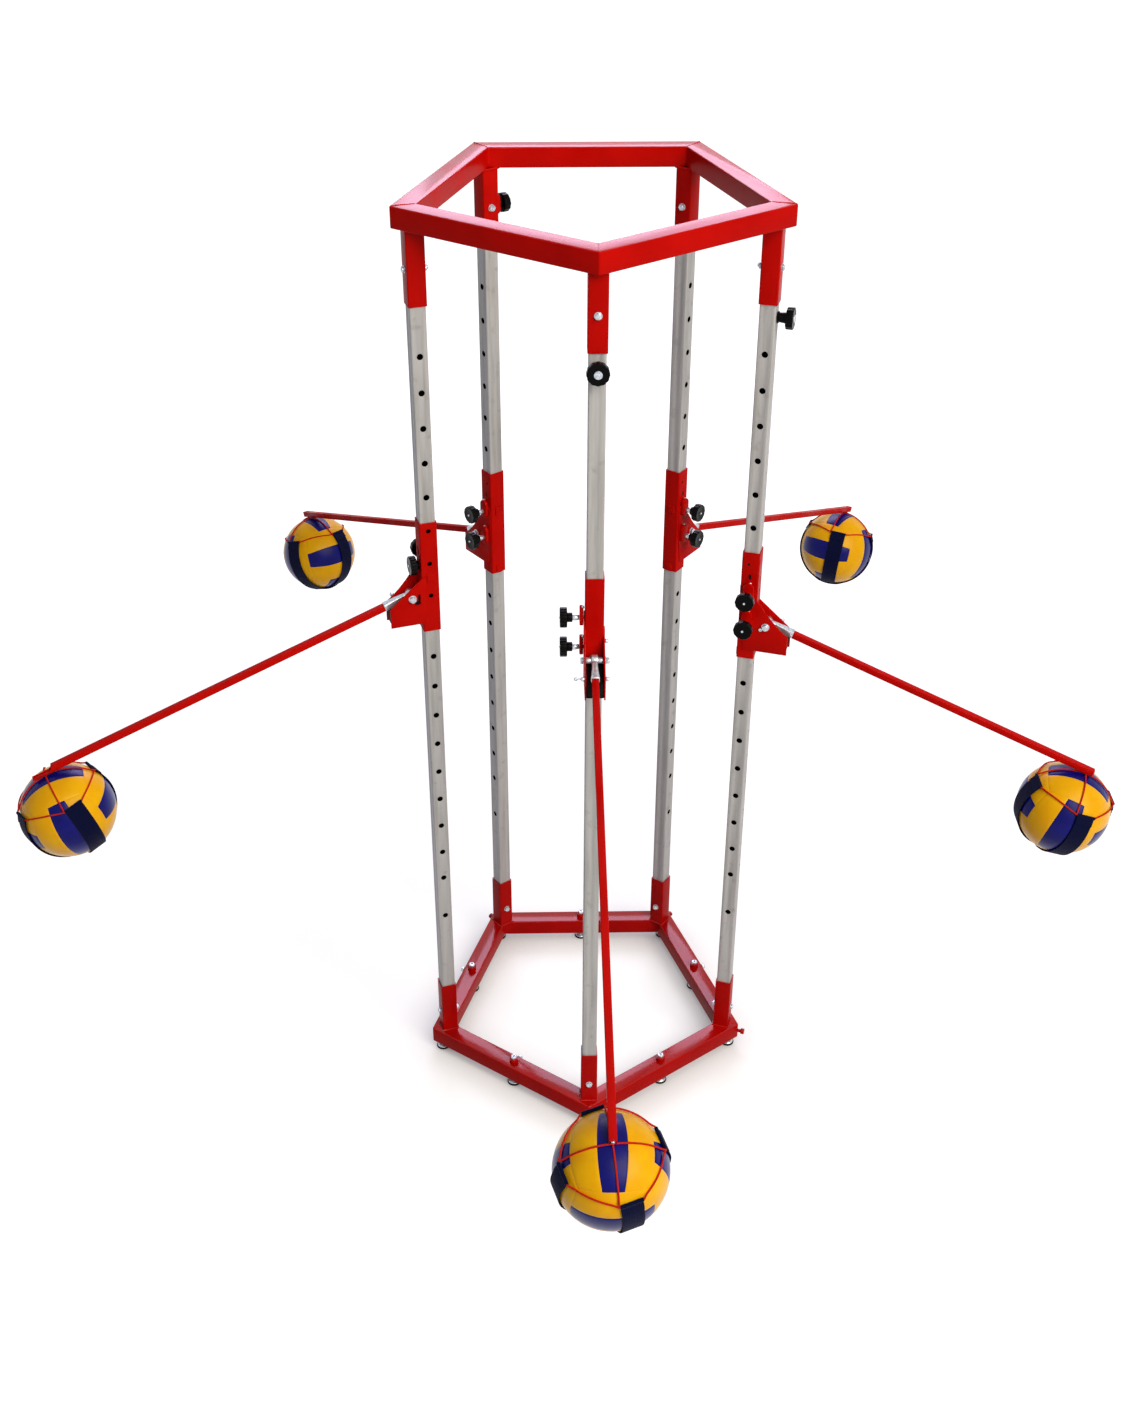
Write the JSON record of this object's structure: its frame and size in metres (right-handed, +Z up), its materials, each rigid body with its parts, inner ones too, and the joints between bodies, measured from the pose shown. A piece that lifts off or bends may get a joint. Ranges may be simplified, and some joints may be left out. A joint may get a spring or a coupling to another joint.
{
  "type": "volleyball passing machine",
  "caption": "Free-standing pentagonal tube frame on levelling feet, with drilled square posts carrying sliding sleeves and hinged arms that each hold a volleyball in a strap harness.",
  "frame": {"origin": "floor level under the middle of the whole part's box", "axes": "+Z up, -Y towards the front arm, +X to the right of someone who faces the front"},
  "size_m": [2.4712, 2.7114, 2.245],
  "materials": {
    "red_paint": "glossy powder coat",
    "stainless": "brushed",
    "zinc": "bright zinc plate",
    "rubber": "matte",
    "black_plastic": "satin",
    "ball_skin": "dimpled synthetic leather",
    "webbing": "woven"
  },
  "bodies": {
    "frame": {"base_ring": "red_paint", "top_ring": "red_paint", "post_front": "stainless", "post_right": "stainless", "post_back_right": "stainless", "post_back_left": "stainless", "post_left": "stainless"},
    "slider_front": {"sleeve_front": "red_paint", "buffer_front": "rubber", "pivot_bolt_front": "zinc"},
    "lock_front": {"lock_pin_front": "black_plastic"},
    "clamp_front": {"clamp_knob_front": "black_plastic"},
    "swing_front": {"arm_front": "red_paint", "ball_front": "ball_skin", "harness_front": "webbing"},
    "corner_foot_front": {"foot_corner_front": "rubber"},
    "beam_foot_front_right": {"foot_beam_front_right": "rubber"},
    "slider_right": {"sleeve_right": "red_paint", "buffer_right": "rubber", "pivot_bolt_right": "zinc"},
    "lock_right": {"lock_pin_right": "black_plastic"},
    "clamp_right": {"clamp_knob_right": "black_plastic"},
    "swing_right": {"arm_right": "red_paint", "ball_right": "ball_skin", "harness_right": "webbing"},
    "corner_foot_right": {"foot_corner_right": "rubber"},
    "beam_foot_right": {"foot_beam_right": "rubber"},
    "slider_back_right": {"sleeve_back_right": "red_paint", "buffer_back_right": "rubber", "pivot_bolt_back_right": "zinc"},
    "lock_back_right": {"lock_pin_back_right": "black_plastic"},
    "clamp_back_right": {"clamp_knob_back_right": "black_plastic"},
    "swing_back_right": {"arm_back_right": "red_paint", "ball_back_right": "ball_skin", "harness_back_right": "webbing"},
    "corner_foot_back_right": {"foot_corner_back_right": "rubber"},
    "beam_foot_back": {"foot_beam_back": "rubber"},
    "slider_back_left": {"sleeve_back_left": "red_paint", "buffer_back_left": "rubber", "pivot_bolt_back_left": "zinc"},
    "lock_back_left": {"lock_pin_back_left": "black_plastic"},
    "clamp_back_left": {"clamp_knob_back_left": "black_plastic"},
    "swing_back_left": {"arm_back_left": "red_paint", "ball_back_left": "ball_skin", "harness_back_left": "webbing"},
    "corner_foot_back_left": {"foot_corner_back_left": "rubber"},
    "beam_foot_left": {"foot_beam_left": "rubber"},
    "slider_left": {"sleeve_left": "red_paint", "buffer_left": "rubber", "pivot_bolt_left": "zinc"},
    "lock_left": {"lock_pin_left": "black_plastic"},
    "clamp_left": {"clamp_knob_left": "black_plastic"},
    "swing_left": {"arm_left": "red_paint", "ball_left": "ball_skin", "harness_left": "webbing"},
    "corner_foot_left": {"foot_corner_left": "rubber"},
    "beam_foot_front_left": {"foot_beam_front_left": "rubber"},
    "top_knob_front": {"top_knob_front": "black_plastic"},
    "top_knob_right": {"top_knob_right": "black_plastic"},
    "top_knob_back_left": {"top_knob_back_left": "black_plastic"}
  },
  "joints": [
    {"name": "slide_front", "type": "slide", "parent": "frame", "child": "slider_front", "axis": [0, 0, 1], "range_m": [-0.56, 0.4]},
    {"name": "swing_front", "type": "hinge", "parent": "slider_front", "child": "swing_front", "pos_m": [0.04826, -0.26049, 1.373], "axis": [-1, 0, 0], "range_deg": [0, 95]},
    {"name": "lock_pull_front", "type": "slide", "parent": "slider_front", "child": "lock_front", "axis": [-1, 0, 0], "range_m": [0, 0.008], "stiffness_N_per_m": 1500, "springref_m": -0.006},
    {"name": "clamp_turn_front", "type": "hinge", "parent": "slider_front", "child": "clamp_front", "pos_m": [0.04826, -0.21699, 1.382], "axis": [-1, 0, 0], "continuous": true},
    {"name": "corner_foot_turn_front", "type": "hinge", "parent": "frame", "child": "corner_foot_front", "pos_m": [0.04826, -0.23418, 0], "axis": [0, 0, 1], "continuous": true},
    {"name": "beam_foot_turn_front_right", "type": "hinge", "parent": "frame", "child": "beam_foot_front_right", "pos_m": [0.23729, -0.09684, 0], "axis": [0, 0, 1], "continuous": true},
    {"name": "slide_right", "type": "slide", "parent": "frame", "child": "slider_right", "axis": [0, 0, 1], "range_m": [-0.48, 0.48]},
    {"name": "swing_right", "type": "hinge", "parent": "slider_right", "child": "swing_right", "pos_m": [0.45134, 0.03236, 1.293], "axis": [-0.309, -0.9511, 0], "range_deg": [0, 95]},
    {"name": "lock_pull_right", "type": "slide", "parent": "slider_right", "child": "lock_right", "axis": [-0.309, -0.9511, 0], "range_m": [0, 0.008], "stiffness_N_per_m": 1500, "springref_m": -0.006},
    {"name": "clamp_turn_right", "type": "hinge", "parent": "slider_right", "child": "clamp_right", "pos_m": [0.40997, 0.0458, 1.302], "axis": [-0.309, -0.9511, 0], "continuous": true},
    {"name": "corner_foot_turn_right", "type": "hinge", "parent": "frame", "child": "corner_foot_right", "pos_m": [0.42632, 0.04049, 0], "axis": [0, 0, 1], "continuous": true},
    {"name": "beam_foot_turn_right", "type": "hinge", "parent": "frame", "child": "beam_foot_right", "pos_m": [0.35412, 0.26271, 0], "axis": [0, 0, 1], "continuous": true},
    {"name": "slide_back_right", "type": "slide", "parent": "frame", "child": "slider_back_right", "axis": [0, 0, 1], "range_m": [-0.48, 0.48]},
    {"name": "swing_back_right", "type": "hinge", "parent": "slider_back_right", "child": "swing_back_right", "pos_m": [0.29738, 0.50621, 1.293], "axis": [0.809, -0.5878, 0], "range_deg": [0, 95]},
    {"name": "lock_pull_back_right", "type": "slide", "parent": "slider_back_right", "child": "lock_back_right", "axis": [0.809, -0.5878, 0], "range_m": [0, 0.008], "stiffness_N_per_m": 1500, "springref_m": -0.006},
    {"name": "clamp_turn_back_right", "type": "hinge", "parent": "slider_back_right", "child": "clamp_back_right", "pos_m": [0.27181, 0.47102, 1.302], "axis": [0.809, -0.5878, 0], "continuous": true},
    {"name": "corner_foot_turn_back_right", "type": "hinge", "parent": "frame", "child": "corner_foot_back_right", "pos_m": [0.28191, 0.48493, 0], "axis": [0, 0, 1], "continuous": true},
    {"name": "beam_foot_turn_back", "type": "hinge", "parent": "frame", "child": "beam_foot_back", "pos_m": [0.04826, 0.48493, 0], "axis": [0, 0, 1], "continuous": true},
    {"name": "slide_back_left", "type": "slide", "parent": "frame", "child": "slider_back_left", "axis": [0, 0, 1], "range_m": [-0.48, 0.48]},
    {"name": "swing_back_left", "type": "hinge", "parent": "slider_back_left", "child": "swing_back_left", "pos_m": [-0.20086, 0.50621, 1.293], "axis": [0.809, 0.5878, 0], "range_deg": [0, 95]},
    {"name": "lock_pull_back_left", "type": "slide", "parent": "slider_back_left", "child": "lock_back_left", "axis": [-0.809, -0.5878, 0], "range_m": [0, 0.008], "stiffness_N_per_m": 1500, "springref_m": -0.006},
    {"name": "clamp_turn_back_left", "type": "hinge", "parent": "slider_back_left", "child": "clamp_back_left", "pos_m": [-0.17529, 0.47102, 1.302], "axis": [-0.809, -0.5878, 0], "continuous": true},
    {"name": "corner_foot_turn_back_left", "type": "hinge", "parent": "frame", "child": "corner_foot_back_left", "pos_m": [-0.18539, 0.48493, 0], "axis": [0, 0, 1], "continuous": true},
    {"name": "beam_foot_turn_left", "type": "hinge", "parent": "frame", "child": "beam_foot_left", "pos_m": [-0.2576, 0.26271, 0], "axis": [0, 0, 1], "continuous": true},
    {"name": "slide_left", "type": "slide", "parent": "frame", "child": "slider_left", "axis": [0, 0, 1], "range_m": [-0.56, 0.4]},
    {"name": "swing_left", "type": "hinge", "parent": "slider_left", "child": "swing_left", "pos_m": [-0.35482, 0.03236, 1.373], "axis": [-0.309, 0.9511, 0], "range_deg": [0, 95]},
    {"name": "lock_pull_left", "type": "slide", "parent": "slider_left", "child": "lock_left", "axis": [-0.309, 0.9511, 0], "range_m": [0, 0.008], "stiffness_N_per_m": 1500, "springref_m": -0.006},
    {"name": "clamp_turn_left", "type": "hinge", "parent": "slider_left", "child": "clamp_left", "pos_m": [-0.31345, 0.0458, 1.382], "axis": [-0.309, 0.9511, 0], "continuous": true},
    {"name": "corner_foot_turn_left", "type": "hinge", "parent": "frame", "child": "corner_foot_left", "pos_m": [-0.3298, 0.04049, 0], "axis": [0, 0, 1], "continuous": true},
    {"name": "beam_foot_turn_front_left", "type": "hinge", "parent": "frame", "child": "beam_foot_front_left", "pos_m": [-0.14077, -0.09684, 0], "axis": [0, 0, 1], "continuous": true},
    {"name": "top_knob_turn_front", "type": "hinge", "parent": "frame", "child": "top_knob_front", "pos_m": [0.04826, -0.21699, 2.01], "axis": [0, -1, 0], "continuous": true},
    {"name": "top_knob_turn_right", "type": "hinge", "parent": "frame", "child": "top_knob_right", "pos_m": [0.40997, 0.0458, 2.01], "axis": [0.9511, -0.309, 0], "continuous": true},
    {"name": "top_knob_turn_back_left", "type": "hinge", "parent": "frame", "child": "top_knob_back_left", "pos_m": [-0.17529, 0.47102, 2.115], "axis": [0.809, 0.5878, 0], "continuous": true}
  ]
}
